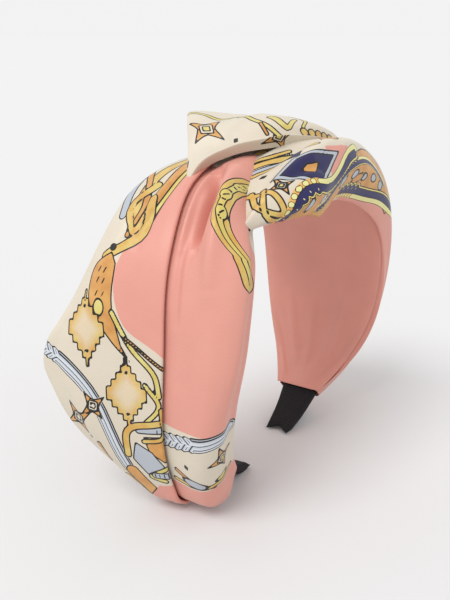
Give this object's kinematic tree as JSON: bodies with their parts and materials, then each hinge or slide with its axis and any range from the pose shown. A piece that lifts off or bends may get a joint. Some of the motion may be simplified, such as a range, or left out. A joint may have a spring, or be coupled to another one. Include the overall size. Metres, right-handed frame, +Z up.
{
  "type": "knotted headband",
  "caption": "Wide knotted satin headband on a sprung plastic hoop, with a lining, gathered ends and ribbon-wrapped tips.",
  "frame": {"origin": "on the surface that the tips stand on, under the middle of the whole headband's box", "axes": "+Z up to the knot, +X from the left leg to the right leg, -Y to the front edge of the band"},
  "size_m": [0.159, 0.0802, 0.1549],
  "materials": {
    "printed_satin": "crepe satin with a printed scarf pattern",
    "lining_satin": "plain crepe satin",
    "interlining": "pressed felt",
    "black_ribbon": "ribbed ribbon, matt",
    "thread": "twisted sewing thread",
    "hoop_plastic": "moulded, satin"
  },
  "bodies": {
    "crown": {"hoop_crown": "hoop_plastic", "crown_lining": "lining_satin", "knot_over_wrap": "printed_satin", "knot_under_loop": "printed_satin", "knot_tack_stitches": "thread"},
    "left_leg": {"hoop_left_leg": "hoop_plastic", "left_stiffener": "interlining", "left_cover": "printed_satin", "left_lining": "lining_satin", "left_gather_thread": "thread", "left_tip_wrap": "black_ribbon"},
    "right_leg": {"hoop_right_leg": "hoop_plastic", "right_stiffener": "interlining", "right_cover": "printed_satin", "right_lining": "lining_satin", "right_gather_thread": "thread", "right_tip_wrap": "black_ribbon"}
  },
  "joints": [
    {"name": "left_leg_flex", "type": "hinge", "parent": "crown", "child": "left_leg", "pos_m": [-0.02636, -0.01007, 0.12657], "axis": [0, 1, 0], "range_deg": [-4, 22], "stiffness_Nm_per_rad": 0.5},
    {"name": "right_leg_flex", "type": "hinge", "parent": "crown", "child": "right_leg", "pos_m": [0.03806, -0.01007, 0.12657], "axis": [0, -1, 0], "range_deg": [-4, 22], "stiffness_Nm_per_rad": 0.5}
  ]
}
